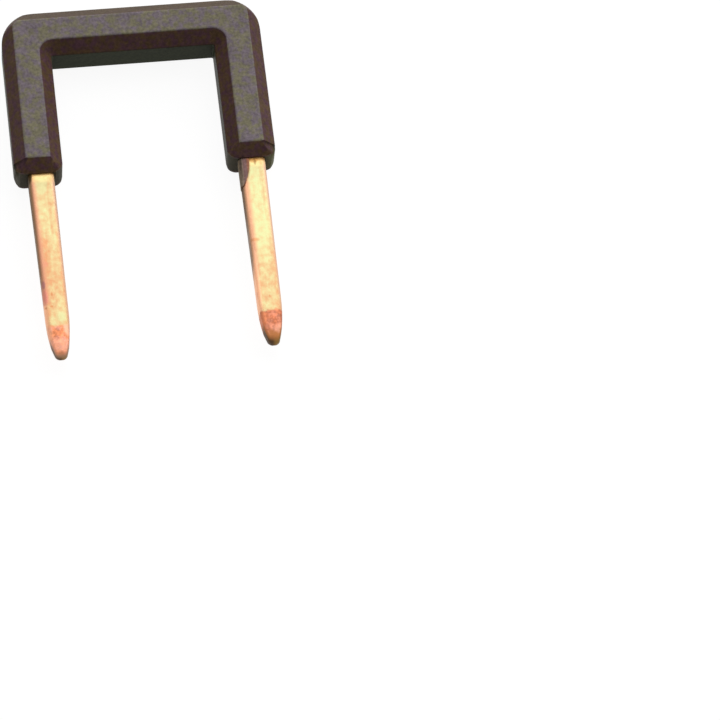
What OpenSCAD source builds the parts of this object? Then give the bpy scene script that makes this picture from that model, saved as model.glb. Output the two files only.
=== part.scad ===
// Two-pole jumper for terminal blocks: a copper link, bent to a U from drawn wire of rounded-square
// section, in a moulded insulating cover that leaves the two pins bare.
// It lies on the back of the cover, as it comes to rest: the bar runs along X, the pins point to -Y
// and the front face looks up. The origin is under the middle of the whole jumper.

/* [Spacing] */
// Distance between the centres of the two pins
pitch = 17.8; // [12:0.1:40]

/* [Copper link] */
// Width of the wire inside the cover, across the plane of the U
wire_w = 2.3; // [1.9:0.02:3.6]
// Thickness of the wire inside the cover, from its back to its front
wire_t = 2.3; // [1.9:0.02:3.6]
// Radius of the four long edges of the wire
wire_edge_r = 0.42; // [0.3:0.01:0.7]
// Radius on the inside of the two bends
bend_inner_r = 0.6; // [0.4:0.05:2]
// Distance by which the left leg of the wire stands in from the middle of the cover's leg
left_in = 0.135; // [0:0.005:0.3]

/* [Bare pins] */
// Angle by which the left pin leans in
left_lean = 0.72; // [0:0.02:1.5]
// Depth by which every face of the pins is drawn down from the wire
pin_step = 0.07; // [0.04:0.01:0.15]
// Depth inside the cover at which the pins begin
pin_root = 1.2; // [1.1:0.1:3]
// Length of the right pin outside the cover
pin_len = 16.85; // [10:0.05:30]
// Length by which the left pin falls short of the right one
left_short = 0.2; // [0:0.05:0.5]
// Draw-in of each side of the pin, from the cover down to the start of the tip
pin_draw_side = 0.11; // [0.02:0.01:0.25]
// Draw-in of the front and of the back of the pin, down to the start of the bevels
pin_draw_face = 0.12; // [0.02:0.01:0.25]
// Length of the tip that narrows to the nose, seen from the front
tip_len = 4; // [2:0.1:6]
// Radius of the nose, seen from the front
nose_r = 0.6; // [0.2:0.05:0.8]
// Length of the front and back bevels at the tip
tip_bevel_len = 2.65; // [2:0.05:6]
// Radius of the nose, seen from the side
nose_side_r = 0.7; // [0.2:0.05:0.8]

/* [Insulating cover] */
// Wall of the legs beside the wire
side_wall = 0.875; // [0.6:0.005:2]
// Wall of the bar above and below the wire
bar_wall = 0.95; // [0.6:0.01:2]
// Wall in front of and behind the wire
face_wall = 1.15; // [0.9:0.01:2]
// Length of the legs, from the top of the bar to their ends
leg_len = 15.2; // [11:0.1:30]
// Width of the chamfers along the legs and under the bar, measured on the front and back faces
chamfer_w = 1.04; // [0.4:0.01:1.3]
// Width of the chamfer along the top of the bar
top_chamfer_w = 1.2; // [0.4:0.01:1.4]
// Depth of all the long chamfers, measured down the sides
chamfer_d = 1.12; // [0.4:0.01:1.4]
// Radius of the two outer corners of the U
corner_r = 3; // [2:0.05:4]
// Width of the cone that takes the front and back edges off the outer corners
corner_cone_w = 0.6; // [0.3:0.05:1]
// Depth of that cone, measured down the corner
corner_cone_d = 1; // [0.3:0.05:1.05]
// Radius of the two inner corners, where the legs meet the bar
inner_corner_r = 0.15; // [0.1:0.05:1]
// Length of the front and back bevels at the ends of the legs
end_bevel_len = 1; // [0.4:0.05:2]
// Depth of those bevels, measured down the end of the leg
end_bevel_d = 0.95; // [0.4:0.05:1.1]
// Radius of the corners at the ends of the legs
end_corner_r = 0.85; // [0.4:0.05:0.9]
// Set-back of the outer chamfers along the end bevels
end_step = 0.22; // [0.05:0.01:0.4]

/* [Moulding flash] */
// Width of the film that crept over the front of the right pin
flash_w = 0.76; // [0.5:0.01:1]
// Length of the film past the end of the leg
flash_len = 2.5; // [1.5:0.05:5]
// Straight stretch of the film before it curves to its point
flash_straight = 0.3; // [0.1:0.1:2]
// Width left at the point of the film
flash_point_w = 0.08; // [0.05:0.01:0.3]
// Thickness of the film over the copper, with the fit gap
flash_t = 0.1; // [0.08:0.01:0.2]

/* [Fit] */
// Gap between the copper and the cover moulded round it
fit_gap = 0.02; // [0.01:0.01:0.05]

/* [Hidden] */
$fn = 96;

// Reach of a cutting tool past the face that it cuts
over = 1;
// Share of its own size by which a chamfer wedge runs on past both faces
wedge_over = 0.4;
// Radius at which the cones round the corners of the leg ends stop short of their points
cone_point_r = 0.05;
// Length of a pin that runs on into the thicker wire above it
pin_lap = 1;
// Length of the film of flash that runs up into the leg
flash_lap = 0.5;
// Facets of the long flank arcs in a preview
flank_facets = 360;

// Sizes of the cover, built up from the wire and the walls round it
leg_w = wire_w + 2 * side_wall;
bar_h = wire_w + 2 * bar_wall;
cover_depth = wire_t + 2 * face_wall;
cover_w = pitch + leg_w;
gap_w = pitch - leg_w;

// Heights along Y, from the top of the bar to the tips of the pins
total_len = leg_len + pin_len;
y_top = total_len / 2;
y_tip = -total_len / 2;
y_end = y_top - leg_len;
y_gap = y_top - bar_h;
y_wire = y_top - bar_h / 2;
y_front_end = y_end + end_bevel_len;
y_root = y_end + pin_root;

// Middle plane of the wire and the radius of its bends at mid-width
z_mid = cover_depth / 2;
bend_r = bend_inner_r + wire_w / 2;
y_bend = y_wire - bend_r;
bar_half = pitch / 2 - bend_r;

// Section of the pins where they leave the cover
pin_w = wire_w - 2 * pin_step;
pin_t = wire_t - 2 * pin_step;

// Tip seen from the front: flanks that start along the pin and run smoothly into the nose
tip_half_w = pin_w / 2 - pin_draw_side;
y_flank = y_tip + tip_len;
side_slope = pin_draw_side / (y_end - y_flank);
y_nose = y_tip + nose_r;
flank_run = y_flank - y_nose;
flank_r = (tip_half_w ^ 2 + flank_run ^ 2 - nose_r ^ 2) / (2 * (tip_half_w - nose_r));
y_flank_foot = y_nose - nose_r * flank_run / (flank_r - nose_r);

// Tip seen from the side: bevels that run smoothly into the nose
tip_half_t = pin_t / 2 - pin_draw_face;
y_bevel = y_tip + tip_bevel_len;
face_slope = pin_draw_face / (y_end - y_bevel);
y_side_nose = y_tip + nose_side_r;
bevel_run = y_bevel - y_side_nose;
bevel_reach = sqrt(tip_half_t ^ 2 + bevel_run ^ 2);
bevel_angle = acos(nose_side_r / bevel_reach) - atan2(bevel_run, tip_half_t);

// Arc that ends the film: it starts along the film's straight edge and passes its point
flash_curve = flash_len - flash_straight;
flash_drop = flash_w - flash_point_w;
flash_arc_r = (flash_drop ^ 2 + flash_curve ^ 2) / (2 * flash_drop);

// Shapes that the left and right halves share
module both_sides() {
    children();
    mirror([1, 0, 0]) children();
}

// Shapes that the front and back of the cover share
module both_faces() {
    children();
    translate([0, 0, cover_depth]) mirror([0, 0, 1]) children();
}

// Section of the wire, grown all round
module wire_section(grow = 0) {
    r = wire_edge_r + grow;
    w = wire_w + 2 * grow;
    t = wire_t + 2 * grow;
    square([w - 2 * r, t], center = true);
    square([w, t - 2 * r], center = true);
    for (x = [-1, 1], y = [-1, 1])
        translate([x * (w / 2 - r), y * (t / 2 - r)]) circle(r);
}

// Straight wire on the right pin's axis between two heights
module leg_wire(y_low, y_high, grow = 0) {
    translate([pitch / 2, y_high, z_mid])
        rotate([90, 0, 0])
            linear_extrude(y_high - y_low) wire_section(grow);
}

// Turns the right bend and leg of the wire over to the left side
module left_side() {
    translate([left_in, 0, 0]) mirror([1, 0, 0]) children();
}

// Places the left pin, made as the right one, with its lean about the point where it begins and
// drawn up along its own axis by the length that it falls short
module left_pin_place() {
    left_side()
        translate([pitch / 2, y_root, 0])
            rotate([0, 0, -left_lean])
                translate([-pitch / 2, left_short - y_root, 0]) children();
}

// Right bend of the U and the leg below it, as far as the pin
module bend_and_leg(grow = 0) {
    translate([bar_half, y_bend, z_mid])
        rotate_extrude(angle = 90) translate([bend_r, 0]) wire_section(grow);
    leg_wire(y_root - grow, y_bend, grow);
}

// Wire inside the cover, grown all round
module bent_wire(grow = 0) {
    translate([left_in - bar_half, y_wire, z_mid])
        rotate([90, 0, 90])
            linear_extrude(2 * bar_half - left_in) wire_section(grow);
    bend_and_leg(grow);
    left_side() bend_and_leg(grow);
}

// Straight right pin before it is shaped, grown all round
module pin_blank(grow = 0) {
    leg_wire(y_tip, y_root + pin_lap, grow - pin_step);
}

// Outline of a pin seen from the front, on its own axis; above the cover's end it clears the wire
module pin_front_outline() {
    y_clear = y_bend + over;
    half_clear = tip_half_w + side_slope * (y_clear - y_flank);
    polygon([
        [-half_clear, y_clear], [-tip_half_w, y_flank], [-nose_r, y_nose],
        [nose_r, y_nose], [tip_half_w, y_flank], [half_clear, y_clear]
    ]);
    intersection() {
        translate([tip_half_w - flank_r, y_flank]) circle(flank_r, $fn = flank_facets);
        translate([flank_r - tip_half_w, y_flank]) circle(flank_r, $fn = flank_facets);
        translate([-tip_half_w, y_flank_foot]) square([2 * tip_half_w, y_flank - y_flank_foot]);
    }
    translate([0, y_nose]) circle(nose_r);
}

// Outline of a pin seen from the side, with its thickness along the second axis
module pin_side_outline() {
    y_clear = y_bend + over;
    half_clear = tip_half_t + face_slope * (y_clear - y_bevel);
    y_foot = y_side_nose - nose_side_r * sin(bevel_angle);
    t_foot = nose_side_r * cos(bevel_angle);
    polygon([
        [y_clear, half_clear], [y_bevel, tip_half_t], [y_foot, t_foot],
        [y_foot, -t_foot], [y_bevel, -tip_half_t], [y_clear, -half_clear]
    ]);
    translate([y_side_nose, 0]) circle(nose_side_r);
}

// Right pin, which draws in slightly towards a bevelled tip with a round nose
module pin() {
    difference() {
        pin_blank();
        difference() {
            translate([pitch / 2 - wire_w, y_tip - over, z_mid - wire_t])
                cube([2 * wire_w, pin_len + 2 * over, 2 * wire_t]);
            intersection() {
                translate([pitch / 2, 0, z_mid - wire_t - over])
                    linear_extrude(2 * (wire_t + over)) pin_front_outline();
                translate([pitch / 2 - wire_w - over, 0, z_mid])
                    rotate([90, 0, 90])
                        linear_extrude(2 * (wire_w + over)) pin_side_outline();
            }
        }
    }
}

module copper_link() {
    color("#d9a26b") {
        bent_wire();
        pin();
        left_pin_place() pin();
    }
}

// Upright rectangle with its two top corners rounded
module rounded_top(w, y_low, y_high, r) {
    translate([-w / 2, y_low]) square([w, y_high - y_low - r]);
    translate([r - w / 2, y_low]) square([w - 2 * r, y_high - y_low]);
    for (side = [-1, 1]) translate([side * (w / 2 - r), y_high - r]) circle(r);
}

// Upright rectangle with its two lower corners rounded
module rounded_end(w, y_low, y_high, r) {
    mirror([0, 1]) rounded_top(w, -y_high, -y_low, r);
}

// Outline of the cover seen from the front
module cover_outline() {
    intersection() {
        difference() {
            rounded_top(cover_w, y_end - over, y_top, corner_r);
            rounded_top(gap_w, y_end - 2 * over, y_gap, inner_corner_r);
        }
        union() {
            translate([-cover_w / 2, y_gap - bar_h]) square([cover_w, 2 * bar_h]);
            both_sides() translate([pitch / 2, 0]) rounded_end(leg_w, y_end, y_gap, end_corner_r);
        }
    }
}

// Wedge along Y that takes the edge off a solid whose side is at x = 0 and whose front is at z = 0
module edge_wedge(y_low, y_high, width, depth) {
    past_w = width * wedge_over;
    past_d = depth * wedge_over;
    translate([0, y_high, 0])
        rotate([90, 0, 0])
            linear_extrude(y_high - y_low)
                polygon([[-width - past_w, past_d], [past_w, -depth - past_d], [past_w, past_d]]);
}

// Long chamfers on the front edges, with a cone round each inner corner
module long_chamfers() {
    both_sides() {
        translate([cover_w / 2, 0, cover_depth])
            edge_wedge(y_end - over, y_top + over, chamfer_w, chamfer_d);
        translate([gap_w / 2, 0, cover_depth])
            mirror([1, 0, 0]) edge_wedge(y_end - over, y_gap - inner_corner_r, chamfer_w, chamfer_d);
        translate([gap_w / 2 - inner_corner_r, y_gap - inner_corner_r, cover_depth - chamfer_d])
            cylinder(
                h = chamfer_d * (1 + wedge_over),
                r1 = inner_corner_r,
                r2 = inner_corner_r + chamfer_w * (1 + wedge_over)
            );
    }
    translate([0, y_top, cover_depth])
        rotate([0, 0, 90])
            edge_wedge(-cover_w / 2 - over, cover_w / 2 + over, top_chamfer_w, chamfer_d);
    translate([0, y_gap, cover_depth])
        rotate([0, 0, -90])
            edge_wedge(inner_corner_r - gap_w / 2, gap_w / 2 - inner_corner_r, chamfer_w, chamfer_d);
}

// Cut outside a cone round each outer corner, where the long chamfers meet
module corner_cones() {
    past_w = corner_cone_w * wedge_over;
    past_d = corner_cone_d * wedge_over;
    both_sides()
        translate([cover_w / 2 - corner_r, y_top - corner_r, cover_depth - corner_cone_d - past_d])
            difference() {
                cube([corner_r + over, corner_r + over, corner_cone_d + 2 * past_d]);
                cylinder(
                    h = corner_cone_d + 2 * past_d,
                    r1 = corner_r + past_w,
                    r2 = corner_r - corner_cone_w - past_w
                );
            }
}

// Cut outside the cone that carries an end bevel round a corner of the leg, with the centre of the
// corner at the origin and the front face at z = 0
module end_corner_cut() {
    past_w = end_bevel_len * wedge_over;
    past_d = end_bevel_d * wedge_over;
    cone_h = (end_corner_r - cone_point_r) * end_bevel_d / end_bevel_len;
    reach = end_corner_r + over;
    translate([0, 0, -end_bevel_d - past_d])
        difference() {
            translate([0, -reach, 0]) cube([reach, reach, end_bevel_d + 2 * past_d]);
            cylinder(h = past_d + cone_h, r1 = end_corner_r + past_w, r2 = cone_point_r);
        }
}

// Bevels across the ends of the legs and round their corners, and the step in the outer chamfers
// beside them
module leg_end_bevels() {
    half_flat = leg_w / 2 - end_corner_r;
    both_sides() {
        translate([pitch / 2, y_end, cover_depth])
            rotate([0, 0, -90])
                edge_wedge(-half_flat, half_flat, end_bevel_len, end_bevel_d);
        translate([pitch / 2, y_end + end_corner_r, cover_depth])
            both_sides() translate([half_flat, 0, 0]) end_corner_cut();
        translate([cover_w / 2, 0, cover_depth])
            edge_wedge(y_end - over, y_front_end, chamfer_w + end_step, chamfer_d + end_step);
    }
}

// Film of plastic that crept along the right pin, over its front and its inner edge
module flash() {
    film_edge = pitch / 2 - pin_w / 2;
    intersection() {
        leg_wire(y_end - flash_len, y_end + flash_lap, flash_t - pin_step);
        translate([film_edge, y_end, z_mid])
            linear_extrude(wire_t) {
                translate([-over, -flash_straight]) square([over + flash_w, flash_straight + over]);
                intersection() {
                    translate([flash_w - flash_arc_r, -flash_straight]) circle(flash_arc_r);
                    translate([-over, -flash_len]) square([over + flash_w, flash_curve]);
                }
            }
    }
}

module insulating_cover() {
    color("#6e665f")
        difference() {
            union() {
                difference() {
                    linear_extrude(cover_depth) cover_outline();
                    both_faces() {
                        long_chamfers();
                        corner_cones();
                        leg_end_bevels();
                    }
                }
                flash();
            }
            bent_wire(fit_gap);
            pin_blank(fit_gap);
            left_pin_place() pin_blank(fit_gap);
        }
}

insulating_cover();
copper_link();
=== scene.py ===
import math

import bmesh
import bpy
from mathutils import Matrix, Vector


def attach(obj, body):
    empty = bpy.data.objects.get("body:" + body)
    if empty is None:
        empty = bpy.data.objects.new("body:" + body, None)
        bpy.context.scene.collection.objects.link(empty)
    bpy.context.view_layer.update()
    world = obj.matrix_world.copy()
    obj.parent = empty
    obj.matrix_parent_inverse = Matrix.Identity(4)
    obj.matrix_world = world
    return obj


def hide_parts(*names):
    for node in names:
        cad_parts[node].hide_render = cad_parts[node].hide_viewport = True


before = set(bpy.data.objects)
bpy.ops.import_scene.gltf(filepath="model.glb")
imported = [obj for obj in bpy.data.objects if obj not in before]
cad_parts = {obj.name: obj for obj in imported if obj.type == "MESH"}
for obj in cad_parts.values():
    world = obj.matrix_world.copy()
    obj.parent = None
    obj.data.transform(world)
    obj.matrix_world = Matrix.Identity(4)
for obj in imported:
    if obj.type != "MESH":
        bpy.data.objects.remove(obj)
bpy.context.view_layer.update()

MM = 0.001
WHITE = (1.0, 1.0, 1.0)

# Sizes of the jumper in millimetres, as its solids have them: the cover
PITCH = 17.8
Y_TOP = 16.025
Y_GAP = 11.825
Y_END = 0.825
COVER_DEPTH = 4.6
Z_MID = COVER_DEPTH / 2
CHAMFER_D = 1.12

# The wire
WIRE_W = 2.3
WIRE_T = 2.3
WIRE_EDGE_R = 0.42
BEND_R = 1.75
Y_WIRE = 13.925
Y_BEND = Y_WIRE - BEND_R
LEFT_IN = 0.135
LEFT_LEAN = math.radians(0.72)
LEFT_SHORT = 0.2

# The pins
Y_TIP = -16.025
PIN_STEP = 0.07
PIN_W = WIRE_W - 2 * PIN_STEP
PIN_T = WIRE_T - 2 * PIN_STEP
PIN_ROOT = 1.2
Y_ROOT = Y_END + PIN_ROOT
PIN_DRAW_SIDE = 0.11
PIN_DRAW_FACE = 0.12
TIP_LEN = 4.0
NOSE_R = 0.6
TIP_BEVEL_LEN = 2.65
NOSE_SIDE_R = 0.7
Y_FLANK = Y_TIP + TIP_LEN
Y_BEVEL = Y_TIP + TIP_BEVEL_LEN


# Small helpers for node trees

def place(tree, kind, **settings):
    """Adds a node and sets its own properties."""
    made = tree.nodes.new(kind)
    for name, value in settings.items():
        setattr(made, name, value)
    return made


def put(tree, socket, value):
    """Links a value into a socket, or sets the socket to it; colours are linear RGB triples."""
    if isinstance(value, bpy.types.NodeSocket):
        tree.links.new(value, socket)
    elif socket.type == "RGBA":
        socket.default_value = (*value, 1.0)
    else:
        socket.default_value = value


def feed(tree, node, **inputs):
    """Sets or links a node's inputs by name, with _ for a space."""
    for name, value in inputs.items():
        put(tree, node.inputs[name.replace("_", " ")], value)
    return node


def maths(tree, operation, *operands):
    """One Math node; its operands are numbers or sockets."""
    made = place(tree, "ShaderNodeMath", operation=operation)
    for socket, value in zip(made.inputs, operands):
        put(tree, socket, value)
    return made.outputs[0]


def times(tree, *terms):
    """Product of numbers and sockets."""
    made = terms[0]
    for term in terms[1:]:
        made = maths(tree, "MULTIPLY", made, term)
    return made


def total(tree, *terms):
    """Sum of numbers and sockets."""
    made = terms[0]
    for term in terms[1:]:
        made = maths(tree, "ADD", made, term)
    return made


def away_from(tree, value, level):
    """How far a value is from a level, either way."""
    return maths(tree, "ABSOLUTE", maths(tree, "SUBTRACT", value, level))


def ramp_between(tree, value, low, high, to_low=0.0, to_high=1.0):
    """Smooth step of a value from one level to another."""
    made = place(tree, "ShaderNodeMapRange", interpolation_type="SMOOTHSTEP")
    feed(tree, made, Value=value, From_Min=low, From_Max=high, To_Min=to_low, To_Max=to_high)
    return made.outputs["Result"]


def mix_colour(tree, factor, a, b, blend="MIX"):
    """One colour mix; colours are sockets or linear RGB triples."""
    made = place(tree, "ShaderNodeMix", data_type="RGBA", blend_type=blend)
    for socket, value in ((made.inputs[0], factor), (made.inputs[6], a), (made.inputs[7], b)):
        put(tree, socket, value)
    return made.outputs[2]


def noise(tree, vector, size_mm, detail=2.0, roughness=0.5):
    """Noise with lumps of a given size."""
    made = place(tree, "ShaderNodeTexNoise")
    feed(tree, made, Vector=vector, Scale=1.0 / (size_mm * MM), Detail=detail, Roughness=roughness)
    return made.outputs["Fac"]


def swing(tree, vector, size_mm, detail=2.0, roughness=0.5):
    """Noise that swings either side of zero."""
    return maths(tree, "SUBTRACT", noise(tree, vector, size_mm, detail, roughness), 0.5)


# Finish shared by the plastic and the copper

FINE_DETAIL = 3.0
GRAIN_ROUGHNESS = 0.6


def make_fine_grain():
    """Group: matt grain of a chosen size, as a tone round 1 and as a height for a bump."""
    group = bpy.data.node_groups.new("fine_grain", "ShaderNodeTree")
    for name, kind in (("Vector", "NodeSocketVector"), ("Grain Scale", "NodeSocketFloat"),
                       ("Tone Depth", "NodeSocketFloat")):
        group.interface.new_socket(name, in_out="INPUT", socket_type=kind)
    for name in ("Tone", "Height"):
        group.interface.new_socket(name, in_out="OUTPUT", socket_type="NodeSocketFloat")
    way_in = place(group, "NodeGroupInput")
    way_out = place(group, "NodeGroupOutput")
    speckle = feed(group, place(group, "ShaderNodeTexNoise"), Vector=way_in.outputs["Vector"],
                   Scale=way_in.outputs["Grain Scale"], Detail=FINE_DETAIL, Roughness=GRAIN_ROUGHNESS)
    centred = maths(group, "SUBTRACT", speckle.outputs["Fac"], 0.5)
    depth = times(group, centred, way_in.outputs["Tone Depth"])
    feed(group, way_out, Tone=total(group, depth, 1.0), Height=speckle.outputs["Fac"])
    return group


FINE_GRAIN = make_fine_grain()


def grain(tree, vector, size_mm, tone_depth):
    """Tone and height of the shared grain at a size."""
    made = place(tree, "ShaderNodeGroup", node_tree=FINE_GRAIN)
    feed(tree, made, Vector=vector, Grain_Scale=1.0 / (size_mm * MM), Tone_Depth=tone_depth)
    return made.outputs["Tone"], made.outputs["Height"]


def bump(tree, shader, height, depth_mm, strength):
    """Small relief on a shader from a height."""
    made = feed(tree, place(tree, "ShaderNodeBump"), Height=height, Distance=depth_mm * MM,
                Strength=strength)
    tree.links.new(made.outputs["Normal"], shader.inputs["Normal"])


def new_material(name):
    """Material with a bare Principled shader; returns it, its tree, the shader and the coordinates."""
    material = bpy.data.materials.new(name)
    material.use_nodes = True
    tree = material.node_tree
    shader = tree.nodes["Principled BSDF"]
    where = place(tree, "ShaderNodeTexCoord").outputs["Object"]
    return material, tree, shader, where


def in_mm(tree, where):
    """X, Y and Z of the surface point in millimetres."""
    scaled = place(tree, "ShaderNodeVectorMath", operation="SCALE")
    feed(tree, scaled, Scale=1.0 / MM)
    tree.links.new(where, scaled.inputs[0])
    split = place(tree, "ShaderNodeSeparateXYZ")
    tree.links.new(scaled.outputs[0], split.inputs[0])
    return split.outputs


# Plastic: colours
FACE_OLIVE = (0.238, 0.218, 0.140)
FACE_MAUVE = (0.212, 0.174, 0.200)
CHAMFER_BROWN = (0.111, 0.066, 0.033)
CHAMFER_PLUM = (0.095, 0.046, 0.058)
# Painted shade for the chamfers near the top of the bar
TOP_CHAMFER_PAINTED_SHADE = (0.080, 0.056, 0.031)
WALL_UMBER = (0.042, 0.037, 0.023)
WALL_OLIVE = (0.037, 0.044, 0.020)
WALL_BROWN = (0.038, 0.031, 0.012)
# Painted light for the right leg's end wall
WALL_PAINTED_LIGHT = (0.080, 0.077, 0.020)
FILM_BROWN = (0.310, 0.180, 0.165)
FILM_WARM = (0.500, 0.205, 0.115)
# Painted light on the film's rounded left edge, and painted shade on its far left side
FILM_EDGE_PAINTED_LIGHT = (0.470, 0.355, 0.265)
FILM_SIDE_PAINTED_SHADE = (0.280, 0.200, 0.110)

# Plastic: where each tone begins and where it is full, in millimetres. The face and the walls are
# measured from the middle plane, the top, the leg ends and the film's start along Y, the underside of
# the bar from its own level, and the rest across from the middle of the part or from the right pin
FACE_BLEND = (Z_MID - 0.1, Z_MID - 0.02)
WALL_BLEND = (Z_MID - CHAMFER_D + 0.08, Z_MID - CHAMFER_D - 0.12)
TOP_BLEND = (Y_TOP - 1.6, Y_TOP - 0.9)
END_BLEND = (Y_END + 1.0, Y_END + 0.4)
FILM_BLEND = (Y_END - 0.02, Y_END - 0.08)
UNDER_BAR_BLEND = (0.9, 0.2)
BETWEEN_LEGS_BLEND = (7.6, 7.2)
PAINTED_LIGHT_END_BLEND = (0.9, 1.5)
FILM_WARM_BLEND = (-0.62, -0.42)
FILM_PAINTED_LIGHT_BLEND = (-0.8, -0.98)
FILM_PAINTED_SHADE_BLEND = (-1.1, -1.16)
TOP_AMOUNT = 0.8

# Plastic: lumps and grain in millimetres, the spread of noise that is used, and tones round 1
HUE_LUMP = 0.55
HUE_SPREAD = (0.35, 0.65)
MOTTLE_LUMP = 1.1
MOTTLE_SPREAD = (0.3, 0.7)
MOTTLE_TONES = (0.92, 1.08)
TOP_TO_END_TONES = (0.98, 1.06)
PLASTIC_GRAIN = 0.24
PLASTIC_GRAIN_TONE = 1.35
PLASTIC_BUMP = 0.012
PLASTIC_BUMP_STRENGTH = 0.5
PLASTIC_ROUGH = (0.5, 0.65)
PLASTIC_SHINE = 0.08


def make_cover_plastic():
    """Moulded plastic: matt textured faces, darker smooth chamfers and walls, a pale film of flash."""
    material, tree, shader, where = new_material("cover_plastic")
    x, y, z = in_mm(tree, where)
    off_middle = away_from(tree, z, Z_MID)
    from_pin = maths(tree, "SUBTRACT", x, PITCH / 2)

    # Faces and chamfers drift between two hues
    hue = ramp_between(tree, noise(tree, where, HUE_LUMP), *HUE_SPREAD)
    face = mix_colour(tree, hue, FACE_OLIVE, FACE_MAUVE)
    chamfer = mix_colour(tree, hue, CHAMFER_BROWN, CHAMFER_PLUM)
    # Painted shade darkens the chamfers near the top of the bar
    at_top = ramp_between(tree, y, *TOP_BLEND)
    chamfer = mix_colour(tree, times(tree, at_top, TOP_AMOUNT), chamfer, TOP_CHAMFER_PAINTED_SHADE)

    # Walls: greener under the bar, browner at the leg ends, and painted light on the right leg's end
    # beside the pin
    between_legs = ramp_between(tree, maths(tree, "ABSOLUTE", x), *BETWEEN_LEGS_BLEND)
    near_gap = ramp_between(tree, away_from(tree, y, Y_GAP), *UNDER_BAR_BLEND)
    at_end = ramp_between(tree, y, *END_BLEND)
    painted_light_end = times(tree, ramp_between(tree, from_pin, *PAINTED_LIGHT_END_BLEND), at_end)
    wall = mix_colour(tree, times(tree, near_gap, between_legs), WALL_UMBER, WALL_OLIVE)
    wall = mix_colour(tree, at_end, wall, WALL_BROWN)
    wall = mix_colour(tree, painted_light_end, wall, WALL_PAINTED_LIGHT)

    # Film of flash on the right pin, redder at its thin edge, paler with painted light where it turns
    # down the side, and darker with painted shade at its far left side
    film = mix_colour(tree, ramp_between(tree, from_pin, *FILM_WARM_BLEND), FILM_BROWN, FILM_WARM)
    film = mix_colour(tree, ramp_between(tree, from_pin, *FILM_PAINTED_LIGHT_BLEND), film, FILM_EDGE_PAINTED_LIGHT)
    film = mix_colour(tree, ramp_between(tree, from_pin, *FILM_PAINTED_SHADE_BLEND), film, FILM_SIDE_PAINTED_SHADE)

    on_face = ramp_between(tree, off_middle, *FACE_BLEND)
    colour = mix_colour(tree, ramp_between(tree, off_middle, *WALL_BLEND), chamfer, wall)
    colour = mix_colour(tree, on_face, colour, face)
    colour = mix_colour(tree, ramp_between(tree, y, *FILM_BLEND), colour, film)

    tone, height = grain(tree, where, PLASTIC_GRAIN, PLASTIC_GRAIN_TONE)
    mottle = ramp_between(tree, noise(tree, where, MOTTLE_LUMP, FINE_DETAIL), *MOTTLE_SPREAD,
                          *MOTTLE_TONES)
    paler_down = ramp_between(tree, y, Y_TOP, Y_END, *TOP_TO_END_TONES)
    tone = times(tree, tone, times(tree, mottle, paler_down))
    colour = mix_colour(tree, 1.0, colour, tone, "MULTIPLY")
    rough = ramp_between(tree, on_face, 0.0, 1.0, *PLASTIC_ROUGH)
    feed(tree, shader, Base_Color=colour, Roughness=rough, Specular_IOR_Level=PLASTIC_SHINE)
    bump(tree, shader, height, PLASTIC_BUMP, PLASTIC_BUMP_STRENGTH)
    return material


# Copper: colours
SHANK_YELLOW = (0.472, 0.515, 0.265)
SHANK_ORANGE = (0.575, 0.265, 0.130)
EDGE_PINK = (0.540, 0.265, 0.165)
# Painted shade for a line along the pins' left edges
EDGE_PAINTED_SHADE = (0.215, 0.125, 0.062)
# Bright salmon for worn edges near the tips, and for painted light along the right pin's left edge
EDGE_WEAR_AND_PAINTED_LIGHT = (0.920, 0.510, 0.310)
# Painted light for the pins' right edges and the left pin's bevel
EDGE_PAINTED_LIGHT = (0.740, 0.460, 0.320)
MAUVE = (0.600, 0.235, 0.175)
PURPLE = (0.340, 0.150, 0.150)
SPECK = (0.500, 0.215, 0.092)
BEVEL_LEFT = (0.635, 0.228, 0.106)
BEVEL_RIGHT = (0.475, 0.160, 0.081)
BEVEL_PINK = (0.545, 0.234, 0.162)
NOSE_PALE = (0.740, 0.380, 0.265)
# Painted shade for the noses: brown, then dark
NOSE_ROSE = (0.330, 0.184, 0.110)
NOSE_ORANGE = (0.380, 0.150, 0.054)
NOSE_GOLD = (0.230, 0.130, 0.038)
NOSE_DARK = (0.085, 0.048, 0.024)
# Painted shade for the sides of the pins
SIDE_PAINTED_SHADE = (0.215, 0.120, 0.056)
# Painted light for the roots, which the cover shades
ROOT_PAINTED_LIGHT = (0.900, 0.660, 0.290)
ROOT_BROWN = (0.420, 0.200, 0.050)
ROOT_PAINTED_SHADE = (0.060, 0.036, 0.012)
FILM_RIM = (0.200, 0.085, 0.025)

# Places on the pins are in millimetres, across from a pin's axis and along it as Y on the right pin.
# A BLEND or FADE is where a tone begins and where it is full, and an AMOUNT pair its strength there.
# A START, FULL or SHARES pair has one number for the left pin and one for the right pin

# Shanks: warmth from 0, pale yellow, to 1, orange
WARMTH_SPREAD = (-0.4, 1.4)
LEFT_WARMING = (-4.5, -7.0)
LEFT_WARMTH = (0.34, 0.44)
RIGHT_WARMTH = 0.1
RIGHT_WARMING = (-6.0, -9.6)
RIGHT_LOW_WARMTH = 0.4
EDGE_WARMING = (0.4, 0.85)
EDGE_WARMTH = (0.0, 0.3)
PATCH_LUMP = 0.42
PATCH_DETAIL = 4.0
PATCH_ROUGHNESS = 0.62
PATCH_STRETCH = 0.75
PATCH_WARMTH = 1.8
STREAK_LUMP = 0.3
STREAK_STRETCH = 0.05
STREAK_WARMTH = 0.5

# Warm places: pin, warmth, centre and half size
WARM_PLACES = (
    ("left", 0.42, (-0.7, -8.6), (1.25, 4.8)),
    ("left", 0.34, (0.42, -2.6), (0.2, 3.4)),
    ("right", 0.25, (0.52, -2.2), (0.16, 3.0)),
)

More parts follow.
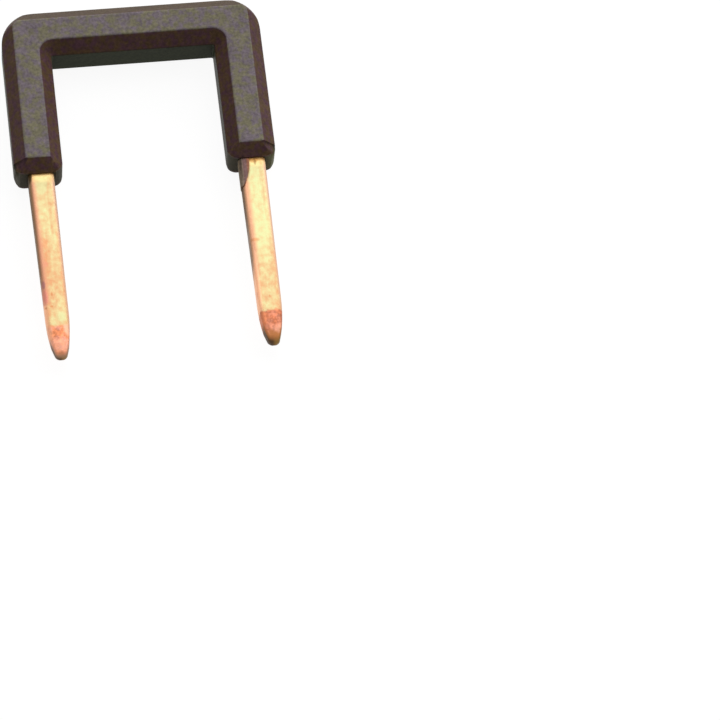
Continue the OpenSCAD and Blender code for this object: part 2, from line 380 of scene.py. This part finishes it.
# Marks: pin, centre, half size, colour, strength, and how far out the mark is solid, from 0 to 1.
# The shanks have a pressed-in oval at the left root, paler and warmer spots and a mauve one
SHANK_MARKS = (
    ("left", (-0.12, -0.1), (0.72, 1.42), SHANK_ORANGE, 0.3, 0.7),
    ("left", (-0.12, -0.1), (0.6, 1.28), SHANK_YELLOW, 0.5, 0.7),
    ("left", (0.35, -12.6), (0.55, 0.55), SHANK_YELLOW, 0.5, 0.0),
    ("left", (-0.33, -5.85), (0.28, 0.6), SHANK_ORANGE, 0.7, 0.0),
    ("left", (-0.55, -7.75), (0.36, 0.34), MAUVE, 0.45, 0.0),
)
# Painted light along the right pin's left rounding
EDGE_PAINTED_LIGHT_MARKS = (
    ("right front", (-0.88, -4.0), (0.16, 8.0), EDGE_WEAR_AND_PAINTED_LIGHT, 0.55, 0.0),
    ("right front", (-0.8, -10.6), (0.22, 3.4), EDGE_WEAR_AND_PAINTED_LIGHT, 0.7, 0.0),
)
TARNISH_MARKS = (
    ("left front", (-0.82, -10.75), (0.26, 0.85), MAUVE, 0.85, 0.2),
    ("left front", (-0.84, -9.6), (0.17, 0.42), PURPLE, 0.75, 0.2),
    ("left front", (-0.26, -10.5), (0.09, 0.24), SPECK, 0.75, 0.2),
    ("left front", (-0.38, -11.6), (0.16, 0.11), SPECK, 0.75, 0.2),
    ("left front", (-0.84, -11.7), (0.1, 0.12), SPECK, 0.75, 0.2),
    ("left front", (0.78, -10.25), (0.06, 0.2), SPECK, 0.75, 0.2),
    ("right front", (-0.62, -6.75), (0.44, 0.2), SPECK, 0.7, 0.0),
    ("right front", (0.03, -12.0), (0.07, 0.16), SPECK, 0.7, 0.0),
    ("right front", (-1.0, -11.7), (0.11, 0.4), MAUVE, 0.4, 0.0),
)
# The left pin's bevel gets painted light at its right edge
BEVEL_MARKS = (
    ("left", (0.75, Y_BEVEL - 0.2), (0.42, 0.9), EDGE_PAINTED_LIGHT, 0.7, 0.2),
    ("right", (-0.72, Y_BEVEL - 0.5), (0.3, 0.9), BEVEL_LEFT, 0.6, 0.2),
)
# The roots have brown copper beside the film, a dark left corner of painted shade, the film's rim and a
# short crack
ROOT_MARKS = (
    ("right", (0.05, 0.72), (0.5, 0.4), ROOT_BROWN, 0.6, 0.3),
    ("left", (-1.12, 0.62), (0.4, 0.95), ROOT_PAINTED_SHADE, 0.9, 0.5),
    ("right", (-1.08, Y_END), (0.88, 2.45), FILM_RIM, 0.6, 0.7),
    ("right", (0.18, 0.45), (0.14, 0.34), FILM_RIM, 0.6, 0.0),
)
MARK_EDGE = 1.15
FRONT_BLEND = (-0.3, 0.4)

# Long edges
WAVE_LUMP = 0.5
FRAYED = 2.0
WORN_START = (-10.9, -8.2)
WORN_FULL = (-11.5, -11.2)
PINK_BLEND = (-0.3, -0.82)
PINK_AMOUNT = (0.0, 0.95)
LINE_BLEND = (-0.76, -1.02)
LINE_FADE = (-10.6, -8.4)
WORN_BLEND = (-0.6, -1.02)
EDGE_PAINTED_LIGHT_BLEND = (0.7, 0.98)
EDGE_PAINTED_LIGHT_AMOUNT = (0.0, 0.9)

# Tips
RAGGED = 0.5
BEVEL_START = (Y_BEVEL + 0.16, Y_BEVEL + 0.2)
BEVEL_FULL = (Y_BEVEL - 0.16, Y_BEVEL)
PINKER_LUMP = 0.42
PINKER_SPREAD = (0.4, 0.62)
PINKER_SHARES = (0.9, 0.4)
BROAD_LUMP = 0.75
BROAD_SPREAD = (0.36, 0.64)
BROAD_TONES = (1.13, 0.87)
FINE_LUMP = 0.24
FINE_SPREAD = (0.34, 0.66)
FINE_TONES = (0.82, 1.18)
RIM_BLEND = (-0.45, -0.8)
RIM_FADE = (Y_BEVEL - 1.9, Y_BEVEL - 0.9)
RIM_AMOUNT = 0.55
BAND_Y = Y_TIP + 0.95
BAND_HALF = 0.7
LEFT_BAND_AMOUNT = 0.55
RIGHT_BAND_BLEND = (-0.3, 0.6)
RIGHT_BAND_AMOUNT = (0.1, 0.7)
NOSE_WAVE = 0.2
NOSE_FADE = (Y_TIP + 2.0, Y_TIP + 0.9)
BROWN_START = (0.66, 0.78)
BROWN_FULL = (0.3, 0.62)
BLACK_START = (0.4, 0.64)
BLACK_FULL = (0.0, 0.38)
BLACK_BLEND = (0.2, -0.2)

# Sides and roots
SIDE_BLEND = (0.82, 0.7)
SIDE_FADE = (-11.0, -2.0)
ROOT_PAINTED_LIGHT_BLEND = (Y_END - 1.0, Y_END - 0.25)
ROOT_PAINTED_LIGHT_AMOUNT = (0.0, 0.6)
ROOT_PAINTED_LIGHT_FADE = (-1.0, -0.7)
ROOT_LINE_START = (Y_END - 0.2, Y_END - 0.4)
ROOT_LINE_FULL = (Y_END - 0.04, Y_END - 0.16)
ROOT_LINE_AMOUNT = (0.0, 0.75)

# Copper: grain, relief and shine
COPPER_GRAIN = 0.12
COPPER_GRAIN_TONE = 0.12
COPPER_BUMP = 0.008
COPPER_BUMP_STRENGTH = 0.3
COPPER_ROUGH = (0.45, 0.6)
SIDE_ROUGH = 0.8
SIDE_METAL = 0.3


class Pins:
    """Where a point of the link lies on its pin: sockets in millimetres, and a mask for each side."""

    def __init__(self, tree, where):
        self.tree = tree
        self.where = where
        x, self.y, z = in_mm(tree, where)
        self.on_right = maths(tree, "GREATER_THAN", x, 0.0)
        on_left = maths(tree, "SUBTRACT", 1.0, self.on_right)
        lean = times(tree, maths(tree, "SUBTRACT", Y_ROOT, self.y), math.tan(LEFT_LEAN))
        left_axis = total(tree, lean, LEFT_IN - PITCH / 2)
        self.across = maths(tree, "SUBTRACT", x, self.pick(left_axis, PITCH / 2))
        self.along = maths(tree, "SUBTRACT", self.y, times(tree, on_left, LEFT_SHORT))
        front = maths(tree, "SUBTRACT", z, Z_MID)
        self.depth = maths(tree, "ABSOLUTE", front)
        self.wavy = swing(tree, where, WAVE_LUMP)
        in_front = ramp_between(tree, front, *FRONT_BLEND)
        self.masks = {"left": on_left, "right": self.on_right,
                      "left front": times(tree, on_left, in_front),
                      "right front": times(tree, self.on_right, in_front)}

    def pick(self, left, right):
        """One number for the left pin and one for the right pin."""
        made = place(self.tree, "ShaderNodeMix", data_type="FLOAT")
        for socket, value in zip((made.inputs[0], made.inputs[2], made.inputs[3]),
                                 (self.on_right, left, right)):
            put(self.tree, socket, value)
        return made.outputs[0]

    def step(self, value, start, full, *amounts):
        """Smooth step whose levels differ from the left pin to the right pin."""
        return ramp_between(self.tree, value, self.pick(*start), self.pick(*full), *amounts)

    def spot(self, centre, half_size, solid):
        """Mask of a soft oval spot."""
        squares = []
        for value, middle, half in zip((self.across, self.along), centre, half_size):
            share = maths(self.tree, "DIVIDE", maths(self.tree, "SUBTRACT", value, middle), half)
            squares.append(times(self.tree, share, share))
        return ramp_between(self.tree, total(self.tree, *squares), MARK_EDGE, solid)

    def paint(self, colour, marks):
        """Paints a list of soft oval marks over a colour."""
        for side, centre, half_size, tint, amount, solid in marks:
            mask = times(self.tree, self.spot(centre, half_size, solid), self.masks[side], amount)
            colour = mix_colour(self.tree, mask, colour, tint)
        return colour

    def drawn_out(self, share):
        """Coordinates that draw a pattern out along the pins."""
        made = place(self.tree, "ShaderNodeMapping")
        feed(self.tree, made, Vector=self.where, Scale=(1.0, share, 1.0))
        return made.outputs[0]


def shank_warmth(pins):
    """Warmer half-way down the left pin, low on the right pin, beside the edges and along streaks."""
    tree = pins.tree
    patches = swing(tree, pins.drawn_out(PATCH_STRETCH), PATCH_LUMP, PATCH_DETAIL, PATCH_ROUGHNESS)
    streaks = swing(tree, pins.drawn_out(STREAK_STRETCH), STREAK_LUMP)
    left_warmth = ramp_between(tree, pins.along, *LEFT_WARMING, *LEFT_WARMTH)
    places = [times(tree, pins.masks[side], warmth, pins.spot(centre, half_size, 0.0))
              for side, warmth, centre, half_size in WARM_PLACES]
    right_low = ramp_between(tree, pins.along, *RIGHT_WARMING)
    from_axis = maths(tree, "ABSOLUTE", pins.across)
    return total(tree, pins.pick(left_warmth, RIGHT_WARMTH), *places,
                 times(tree, pins.on_right, RIGHT_LOW_WARMTH, right_low),
                 ramp_between(tree, from_axis, *EDGE_WARMING, *EDGE_WARMTH),
                 times(tree, patches, PATCH_WARMTH), times(tree, streaks, STREAK_WARMTH))


def colour_edges(pins, colour):
    """Long edges: pink then a brown line of painted shade on the left, painted light on the right, worn
    bright near the tips, and painted light along the right pin's left edge.
    """
    tree = pins.tree
    frayed = total(tree, pins.along, times(tree, pins.wavy, FRAYED))
    worn = pins.step(frayed, WORN_START, WORN_FULL)
    unworn = maths(tree, "SUBTRACT", 1.0, worn)
    pink = times(tree, ramp_between(tree, pins.across, *PINK_BLEND, *PINK_AMOUNT), unworn)
    # The brown line is painted shade along the left rounding
    line = times(tree, ramp_between(tree, pins.across, *LINE_BLEND),
                 ramp_between(tree, frayed, *LINE_FADE), unworn)
    bright = times(tree, ramp_between(tree, pins.across, *WORN_BLEND), worn)
    # Painted light on the right rounding
    light = ramp_between(tree, pins.across, *EDGE_PAINTED_LIGHT_BLEND, *EDGE_PAINTED_LIGHT_AMOUNT)
    colour = mix_colour(tree, pink, colour, EDGE_PINK)
    colour = mix_colour(tree, line, colour, EDGE_PAINTED_SHADE)
    colour = mix_colour(tree, bright, colour, EDGE_WEAR_AND_PAINTED_LIGHT)
    # Painted light along the right pin's left rounding
    colour = pins.paint(colour, EDGE_PAINTED_LIGHT_MARKS)
    colour = mix_colour(tree, light, colour, EDGE_PAINTED_LIGHT)
    return pins.paint(colour, TARNISH_MARKS)


def bevel_colour(pins):
    """Pinker bevels with patches of their own, and a bright rim on the left pin."""
    tree = pins.tree
    pinker = ramp_between(tree, noise(tree, pins.where, PINKER_LUMP, FINE_DETAIL), *PINKER_SPREAD)
    broad = ramp_between(tree, noise(tree, pins.where, BROAD_LUMP, FINE_DETAIL), *BROAD_SPREAD,
                         *BROAD_TONES)
    fine = ramp_between(tree, noise(tree, pins.where, FINE_LUMP), *FINE_SPREAD, *FINE_TONES)
    rim = times(tree, pins.masks["left"], ramp_between(tree, pins.across, *RIM_BLEND),
                ramp_between(tree, pins.along, *RIM_FADE))
    colour = mix_colour(tree, pins.on_right, BEVEL_LEFT, BEVEL_RIGHT)
    colour = mix_colour(tree, times(tree, pinker, pins.pick(*PINKER_SHARES)), colour, BEVEL_PINK)
    colour = mix_colour(tree, 1.0, colour, times(tree, broad, fine), "MULTIPLY")
    colour = pins.paint(colour, BEVEL_MARKS)
    return mix_colour(tree, times(tree, rim, RIM_AMOUNT), colour, EDGE_WEAR_AND_PAINTED_LIGHT)


def colour_tips(pins, colour):
    """Tips: the bevels, a pale band across them, and painted shade on the noses, brown and then dark
    where they round down to the end.
    """
    tree = pins.tree
    ragged = total(tree, pins.along, times(tree, pins.wavy, RAGGED))
    colour = mix_colour(tree, pins.step(ragged, BEVEL_START, BEVEL_FULL), colour, bevel_colour(pins))
    off_band = maths(tree, "DIVIDE", maths(tree, "SUBTRACT", ragged, BAND_Y), BAND_HALF)
    band = ramp_between(tree, times(tree, off_band, off_band), MARK_EDGE, 0.0)
    right_amount = ramp_between(tree, pins.across, *RIGHT_BAND_BLEND, *RIGHT_BAND_AMOUNT)
    band = times(tree, band, pins.pick(LEFT_BAND_AMOUNT, right_amount))
    colour = mix_colour(tree, band, colour, NOSE_PALE)

    # Painted shade on the noses, brown and then dark where they round down to the end
    low = total(tree, pins.depth, times(tree, pins.wavy, NOSE_WAVE))
    at_nose = ramp_between(tree, pins.along, *NOSE_FADE)
    nose_painted_shade_brown = times(tree, pins.step(low, BROWN_START, BROWN_FULL), at_nose)
    nose_painted_shade_dark = times(tree, pins.step(low, BLACK_START, BLACK_FULL), at_nose)
    brown = mix_colour(tree, pins.on_right, NOSE_ROSE, NOSE_ORANGE)
    dark = mix_colour(tree, ramp_between(tree, pins.across, *BLACK_BLEND), NOSE_GOLD, NOSE_DARK)
    colour = mix_colour(tree, nose_painted_shade_brown, colour, brown)
    return mix_colour(tree, nose_painted_shade_dark, colour, dark)


def colour_roots(pins, colour):
    """Roots: painted light on the copper next to the plastic, which the cover shades, a brown line
    where it meets the plastic, and brown round the film.
    """
    tree = pins.tree
    # Painted light on the copper next to the plastic, against the cover's shade
    root_painted_light = times(tree, ramp_between(tree, pins.y, *ROOT_PAINTED_LIGHT_BLEND, *ROOT_PAINTED_LIGHT_AMOUNT),
                  ramp_between(tree, pins.across, *ROOT_PAINTED_LIGHT_FADE))
    line = pins.step(pins.y, ROOT_LINE_START, ROOT_LINE_FULL, *ROOT_LINE_AMOUNT)
    colour = mix_colour(tree, root_painted_light, colour, ROOT_PAINTED_LIGHT)
    colour = mix_colour(tree, line, colour, ROOT_BROWN)
    return pins.paint(colour, ROOT_MARKS)


def make_bare_copper():
    """Drawn copper: pale shanks with tarnish and streaks, pinker bevels, and dull sides and noses
    darkened with painted shade.
    """
    material, tree, shader, where = new_material("bare_copper")
    pins = Pins(tree, where)
    warmth = shank_warmth(pins)
    # The sides get painted shade, and a rougher, less metallic finish
    dull_side_painted_shade = times(tree, ramp_between(tree, pins.depth, *SIDE_BLEND),
                      ramp_between(tree, pins.along, *SIDE_FADE))
    colour = mix_colour(tree, ramp_between(tree, warmth, *WARMTH_SPREAD), SHANK_YELLOW, SHANK_ORANGE)
    colour = pins.paint(colour, SHANK_MARKS)
    colour = colour_edges(pins, colour)
    colour = colour_tips(pins, colour)
    colour = mix_colour(tree, dull_side_painted_shade, colour, SIDE_PAINTED_SHADE)
    colour = colour_roots(pins, colour)

    tone, height = grain(tree, where, COPPER_GRAIN, COPPER_GRAIN_TONE)
    colour = mix_colour(tree, 1.0, colour, tone, "MULTIPLY")
    rough = maths(tree, "MAXIMUM", ramp_between(tree, warmth, 0.0, 1.0, *COPPER_ROUGH),
                  times(tree, dull_side_painted_shade, SIDE_ROUGH))
    metal = ramp_between(tree, dull_side_painted_shade, 0.0, 1.0, 1.0, SIDE_METAL)
    feed(tree, shader, Base_Color=colour, Metallic=metal, Roughness=rough)
    bump(tree, shader, height, COPPER_BUMP, COPPER_BUMP_STRENGTH)
    return material


COVER_PLASTIC = make_cover_plastic()
BARE_COPPER = make_bare_copper()


def add_object(name, data):
    """New object at the origin, linked to the scene."""
    made = bpy.data.objects.new(name, data)
    bpy.context.scene.collection.objects.link(made)
    return made


def keep_flat(piece):
    """Shades flat faces as flat right up to their rounded edges."""
    flat = piece.modifiers.new("flat faces stay flat", "WEIGHTED_NORMAL")
    flat.keep_sharp = True


# Cover: its own solid, with the long edges eased as a mould leaves them

SHARP = math.radians(28)
STEEP = 0.4
EASE_WIDTH = 0.08
EASE_STEPS = 3
CLEAR_OF_END = 0.3
WELD = 0.002
FLAT_WITHIN = math.radians(0.4)


def merged_copy(node, name):
    """Copy of a CAD node's mesh with its triangles joined up and its flat faces made whole."""
    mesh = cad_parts[node].data.copy()
    mesh.name = name
    mesh.materials.clear()
    work = bmesh.new()
    work.from_mesh(mesh)
    bmesh.ops.remove_doubles(work, verts=work.verts, dist=WELD * MM)
    bmesh.ops.dissolve_limit(work, angle_limit=FLAT_WITHIN, verts=work.verts, edges=work.edges)
    work.to_mesh(mesh)
    work.free()
    return add_object(name, mesh)


def near_leg_end(point):
    """True beside the pins' holes and the film of flash, where no edge is eased."""
    return point.y < Y_END + CLEAR_OF_END


def ease_edges(piece):
    """Bevels the level edges that turn sharply, except near the leg ends."""
    work = bmesh.new()
    work.from_mesh(piece.data)
    weight = work.edges.layers.float.new("bevel_weight_edge")
    for edge in work.edges:
        turned = edge.is_manifold and edge.calc_face_angle() > SHARP
        rise = abs(edge.verts[0].co.z - edge.verts[1].co.z)
        level = rise < STEEP * edge.calc_length()
        if turned and level and not any(near_leg_end(v.co / MM) for v in edge.verts):
            edge[weight] = 1.0
    work.to_mesh(piece.data)
    work.free()
    eased = piece.modifiers.new("eased edges", "BEVEL")
    eased.limit_method = "WEIGHT"
    eased.width = EASE_WIDTH * MM
    eased.segments = EASE_STEPS
    eased.use_clamp_overlap = False


def make_cover():
    """The moulded cover, in place of the CAD's."""
    piece = merged_copy("insulating_cover", "moulded_cover")
    piece.data.materials.append(COVER_PLASTIC)
    piece.data.shade_smooth()
    piece.data.set_sharp_from_angle(angle=SHARP)
    ease_edges(piece)
    keep_flat(piece)
    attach(piece, "root")
    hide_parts("insulating_cover")


# Link: one wire swept along its bent path, then drawn in and pointed at both ends

NOSE_RINGS = 18
BEVEL_RINGS = 24
SHANK_RINGS = 40
BEND_RINGS = 14
EDGE_STEPS = 8
CREASE = 0.004
NOSE_POINT = 0.0005
ROUND_NOSE_LEN = 1.2
ON_AXIS = 1e-6
LINK_WELD = 0.0001


def half_width(y):
    """Half the width of a pin at a height, seen from the front."""
    tip_half = PIN_W / 2 - PIN_DRAW_SIDE
    y_nose = Y_TIP + NOSE_R
    run = Y_FLANK - y_nose
    flank_r = (tip_half ** 2 + run ** 2 - NOSE_R ** 2) / (2 * (tip_half - NOSE_R))
    y_foot = y_nose - NOSE_R * run / (flank_r - NOSE_R)
    if y >= Y_END:
        return PIN_W / 2
    if y >= Y_FLANK:
        return PIN_W / 2 - PIN_DRAW_SIDE * (Y_END - y) / (Y_END - Y_FLANK)
    if y >= y_foot:
        return tip_half - flank_r + math.sqrt(flank_r ** 2 - (Y_FLANK - y) ** 2)
    return math.sqrt(max(NOSE_R ** 2 - (y - y_nose) ** 2, 0.0))


def half_thickness(y):
    """Half the thickness of a pin at a height, seen from the side."""
    tip_half = PIN_T / 2 - PIN_DRAW_FACE
    y_nose = Y_TIP + NOSE_SIDE_R
    run = Y_BEVEL - y_nose
    angle = math.acos(NOSE_SIDE_R / math.hypot(tip_half, run)) - math.atan2(run, tip_half)
    y_foot = y_nose - NOSE_SIDE_R * math.sin(angle)
    t_foot = NOSE_SIDE_R * math.cos(angle)
    if y >= Y_END:
        return PIN_T / 2
    if y >= Y_BEVEL:
        return PIN_T / 2 - PIN_DRAW_FACE * (Y_END - y) / (Y_END - Y_BEVEL)
    if y >= y_foot:
        return t_foot + (tip_half - t_foot) * (y - y_foot) / (Y_BEVEL - y_foot)
    return math.sqrt(max(NOSE_SIDE_R ** 2 - (y - y_nose) ** 2, 0.0))


def pin_heights(short):
    """Heights of the wire's rings from the tip of a pin up to its root, closer together at the nose."""
    tip = Y_TIP + short
    crease = Y_BEVEL + short
    nose = [tip + NOSE_R * (1 - math.cos(math.pi / 2 * i / NOSE_RINGS)) for i in range(NOSE_RINGS)]
    nose[0] = tip + NOSE_POINT
    start = tip + NOSE_R
    bevel = [start + (crease - CREASE - start) * i / BEVEL_RINGS for i in range(BEVEL_RINGS + 1)]
    start = crease + CREASE
    return nose + bevel + [start + (Y_ROOT - start) * i / SHANK_RINGS for i in range(SHANK_RINGS + 1)]


def left_axis_at(y):
    """Place of the left pin's leaning axis along X at a height."""
    return LEFT_IN - PITCH / 2 + (Y_ROOT - y) * math.tan(LEFT_LEAN)


def wire_path():
    """Points of the wire's middle line, from the left tip round to the right tip, in millimetres."""
    bend_x = PITCH / 2 - BEND_R
    turns = [math.pi / 2 * i / BEND_RINGS for i in range(BEND_RINGS + 1)]
    upper = [(PITCH / 2, Y_ROOT + CREASE)]
    upper += [(bend_x + BEND_R * math.cos(a), Y_BEND + BEND_R * math.sin(a)) for a in turns]
    path = [(left_axis_at(y), y) for y in pin_heights(LEFT_SHORT)]
    path += [(LEFT_IN - x, y) for x, y in upper]
    path += upper[::-1]
    path += [(PITCH / 2, y) for y in pin_heights(0.0)[::-1]]
    return [Vector((x, y, Z_MID)) for x, y in path]


def make_sweep_tree():
    """Geometry Nodes: a wire of rounded-square section swept along the path that it is given."""
    tree = bpy.data.node_groups.new("wire_sweep", "GeometryNodeTree")
    face = tree.interface
    face.new_socket("Path", in_out="INPUT", socket_type="NodeSocketGeometry")
    for name in ("Wire Width", "Wire Thickness", "Edge Radius"):
        face.new_socket(name, in_out="INPUT", socket_type="NodeSocketFloat")
    face.new_socket("Edge Steps", in_out="INPUT", socket_type="NodeSocketInt")
    face.new_socket("Finish", in_out="INPUT", socket_type="NodeSocketMaterial")
    face.new_socket("Wire", in_out="OUTPUT", socket_type="NodeSocketGeometry")
    way_in = place(tree, "NodeGroupInput")
    way_out = place(tree, "NodeGroupOutput")
    upright = place(tree, "GeometryNodeSetCurveNormal", mode="Z_UP")
    section = place(tree, "GeometryNodeCurvePrimitiveQuadrilateral")
    rounded = place(tree, "GeometryNodeFilletCurve", mode="POLY")
    sweep = place(tree, "GeometryNodeCurveToMesh")
    real = place(tree, "GeometryNodeRealizeInstances")
    finish = place(tree, "GeometryNodeSetMaterial")
    feed(tree, upright, Curve=way_in.outputs["Path"])
    feed(tree, section, Width=way_in.outputs["Wire Width"], Height=way_in.outputs["Wire Thickness"])
    feed(tree, rounded, Curve=section.outputs["Curve"], Radius=way_in.outputs["Edge Radius"],
         Count=way_in.outputs["Edge Steps"])
    feed(tree, sweep, Curve=upright.outputs["Curve"], Profile_Curve=rounded.outputs["Curve"],
         Fill_Caps=True)
    feed(tree, real, Geometry=sweep.outputs["Mesh"])
    feed(tree, finish, Geometry=real.outputs["Geometry"], Material=way_in.outputs["Finish"])
    feed(tree, way_out, Wire=finish.outputs["Geometry"])
    return tree


def sweep_wire():
    """Mesh of the bent wire, with square ends and one even section."""
    curve = bpy.data.curves.new("wire_path", "CURVE")
    curve.dimensions = "3D"
    points = wire_path()
    spline = curve.splines.new("POLY")
    spline.points.add(len(points) - 1)
    for made, point in zip(spline.points, points):
        made.co = (*(point * MM), 1.0)
    path = add_object("wire_path", curve)
    tree = make_sweep_tree()
    modifier = path.modifiers.new("wire sweep", "NODES")
    modifier.node_group = tree
    sizes = {"Wire Width": WIRE_W * MM, "Wire Thickness": WIRE_T * MM, "Edge Radius": WIRE_EDGE_R * MM,
             "Edge Steps": EDGE_STEPS, "Finish": BARE_COPPER}
    for socket in tree.interface.items_tree:
        if socket.in_out == "INPUT" and socket.name in sizes:
            modifier[socket.identifier] = sizes[socket.name]
    bpy.context.view_layer.update()
    swept = path.evaluated_get(bpy.context.evaluated_depsgraph_get())
    mesh = bpy.data.meshes.new_from_object(swept)
    bpy.data.objects.remove(path)
    return mesh


def rounder(across, deep, share):
    """Moves a point of the square section towards the round one by a share."""
    reach = math.hypot(across, deep)
    if reach < ON_AXIS:
        return across, deep
    pull = 1 - share + share / reach
    return across * pull, deep * pull


def shape_pins(mesh):
    """Draws both pins in and points them, ring by ring, with a section that turns round at the nose."""
    for vertex in mesh.vertices:
        x, y, z = vertex.co / MM
        if y > Y_ROOT + CREASE / 2:
            continue
        lean, short = (0.0, 0.0) if x > 0 else (LEFT_LEAN, LEFT_SHORT)
        off_axis = (x - (PITCH / 2 if x > 0 else left_axis_at(y))) * math.cos(lean)
        ring_y = y - off_axis * math.sin(lean)
        own_y = ring_y - short
        share = min(max((Y_TIP + ROUND_NOSE_LEN - own_y) / ROUND_NOSE_LEN, 0.0), 1.0)
        across, deep = rounder(off_axis / (WIRE_W / 2), (z - Z_MID) / (WIRE_T / 2), share)
        across *= half_width(own_y)
        deep *= half_thickness(own_y)
        axis = PITCH / 2 if x > 0 else left_axis_at(ring_y)
        place_on_pin = (axis + across * math.cos(lean), ring_y + across * math.sin(lean), Z_MID + deep)
        vertex.co = Vector(place_on_pin) * MM


def make_link():
    """The bent link with its two pins, in place of the CAD's."""
    mesh = sweep_wire()
    mesh.name = "bent_link"
    shape_pins(mesh)
    work = bmesh.new()
    work.from_mesh(mesh)
    bmesh.ops.remove_doubles(work, verts=work.verts, dist=LINK_WELD * MM)
    bmesh.ops.recalc_face_normals(work, faces=work.faces)
    work.to_mesh(mesh)
    work.free()
    mesh.shade_smooth()
    piece = add_object("bent_link", mesh)
    keep_flat(piece)
    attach(piece, "root")
    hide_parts("copper_link")


make_cover()
make_link()


# Floor, light and camera: sizes and places in metres, the camera's place in millimetres

FLOOR_HALF = 1.5
FLOOR_LIT = (0.8, 0.8, 0.8)
FLOOR_SEEN = (0.16, 0.16, 0.16)
FLOOR_GLOW = 0.93
SKY_LIGHT = 0.12

# Panels: name, direction from the jumper, distance, side and watts
PANELS = (
    ("key_panel", (0.2, 0.55, 0.81), 0.5, 0.68, 1.7),
    ("top_panel", (0.1, 0.95, 0.3), 0.6, 0.45, 1.25),
    ("right_panel", (0.85, 0.1, 0.5), 0.6, 0.4, 0.6),
)

CAMERA_AT = (-26.5711, -173.0868, 334.3886)
CAMERA_RIGHT = (0.990212, -0.120907, 0.069727)
CAMERA_BACK = (-0.114705, -0.420343, 0.900086)
LENS = 225.0
SENSOR = 36.0
NEAR = 0.01
FAR = 20.0


def seen_directly(tree):
    """1 for rays that the camera sees, also in a reflection, and 0 for light that is passed on."""
    path = place(tree, "ShaderNodeLightPath")
    seen = maths(tree, "MAXIMUM", path.outputs["Is Camera Ray"], path.outputs["Is Glossy Ray"])
    return maths(tree, "MAXIMUM", seen, path.outputs["Is Transmission Ray"])


def make_floor():
    """Pale floor: white to the camera and in reflections, with the jumper's shadow kept on it."""
    mesh = bpy.data.meshes.new("floor")
    corners = [(x * FLOOR_HALF, y * FLOOR_HALF, 0) for x, y in ((-1, -1), (1, -1), (1, 1), (-1, 1))]
    mesh.from_pydata(corners, [], [(0, 1, 2, 3)])
    material = bpy.data.materials.new("pale_floor")
    material.use_nodes = True
    tree = material.node_tree
    tree.nodes.clear()
    seen = seen_directly(tree)
    lit = feed(tree, place(tree, "ShaderNodeBsdfDiffuse"),
               Color=mix_colour(tree, seen, FLOOR_LIT, FLOOR_SEEN))
    glow = feed(tree, place(tree, "ShaderNodeEmission"), Color=WHITE,
                Strength=times(tree, seen, FLOOR_GLOW))
    both = place(tree, "ShaderNodeAddShader")
    tree.links.new(lit.outputs[0], both.inputs[0])
    tree.links.new(glow.outputs[0], both.inputs[1])
    out = place(tree, "ShaderNodeOutputMaterial")
    tree.links.new(both.outputs[0], out.inputs["Surface"])
    mesh.materials.append(material)
    floor = add_object("floor", mesh)


def add_panel(name, towards, distance, side, watts):
    """Soft light panel that faces the jumper from a direction."""
    lamp = bpy.data.lights.new(name, "AREA")
    lamp.shape = "SQUARE"
    lamp.size = side
    lamp.energy = watts
    panel = add_object(name, lamp)
    direction = Vector(towards).normalized()
    panel.location = direction * distance
    panel.rotation_euler = direction.to_track_quat("Z", "Y").to_euler()


def light_studio():
    """The panels, and a faint even light from a sky that looks white."""
    for panel in PANELS:
        add_panel(*panel)
    world = bpy.data.worlds.new("studio")
    world.use_nodes = True
    tree = world.node_tree
    sky = tree.nodes["Background"]
    feed(tree, sky, Color=WHITE, Strength=maths(tree, "MAXIMUM", seen_directly(tree), SKY_LIGHT))
    bpy.context.scene.world = world


def set_camera():
    """Long lens above the pins' side, as the photograph was taken."""
    lens = bpy.data.cameras.new("camera")
    lens.lens = LENS
    lens.sensor_width = SENSOR
    lens.clip_start = NEAR
    lens.clip_end = FAR
    camera = add_object("camera", lens)
    right = Vector(CAMERA_RIGHT)
    back = Vector(CAMERA_BACK)
    turn = Matrix((right, back.cross(right), back)).transposed().to_4x4()
    camera.matrix_world = Matrix.Translation(Vector(CAMERA_AT) * MM) @ turn
    bpy.context.scene.camera = camera


make_floor()
light_studio()
set_camera()
bpy.context.scene.view_settings.view_transform = "Standard"
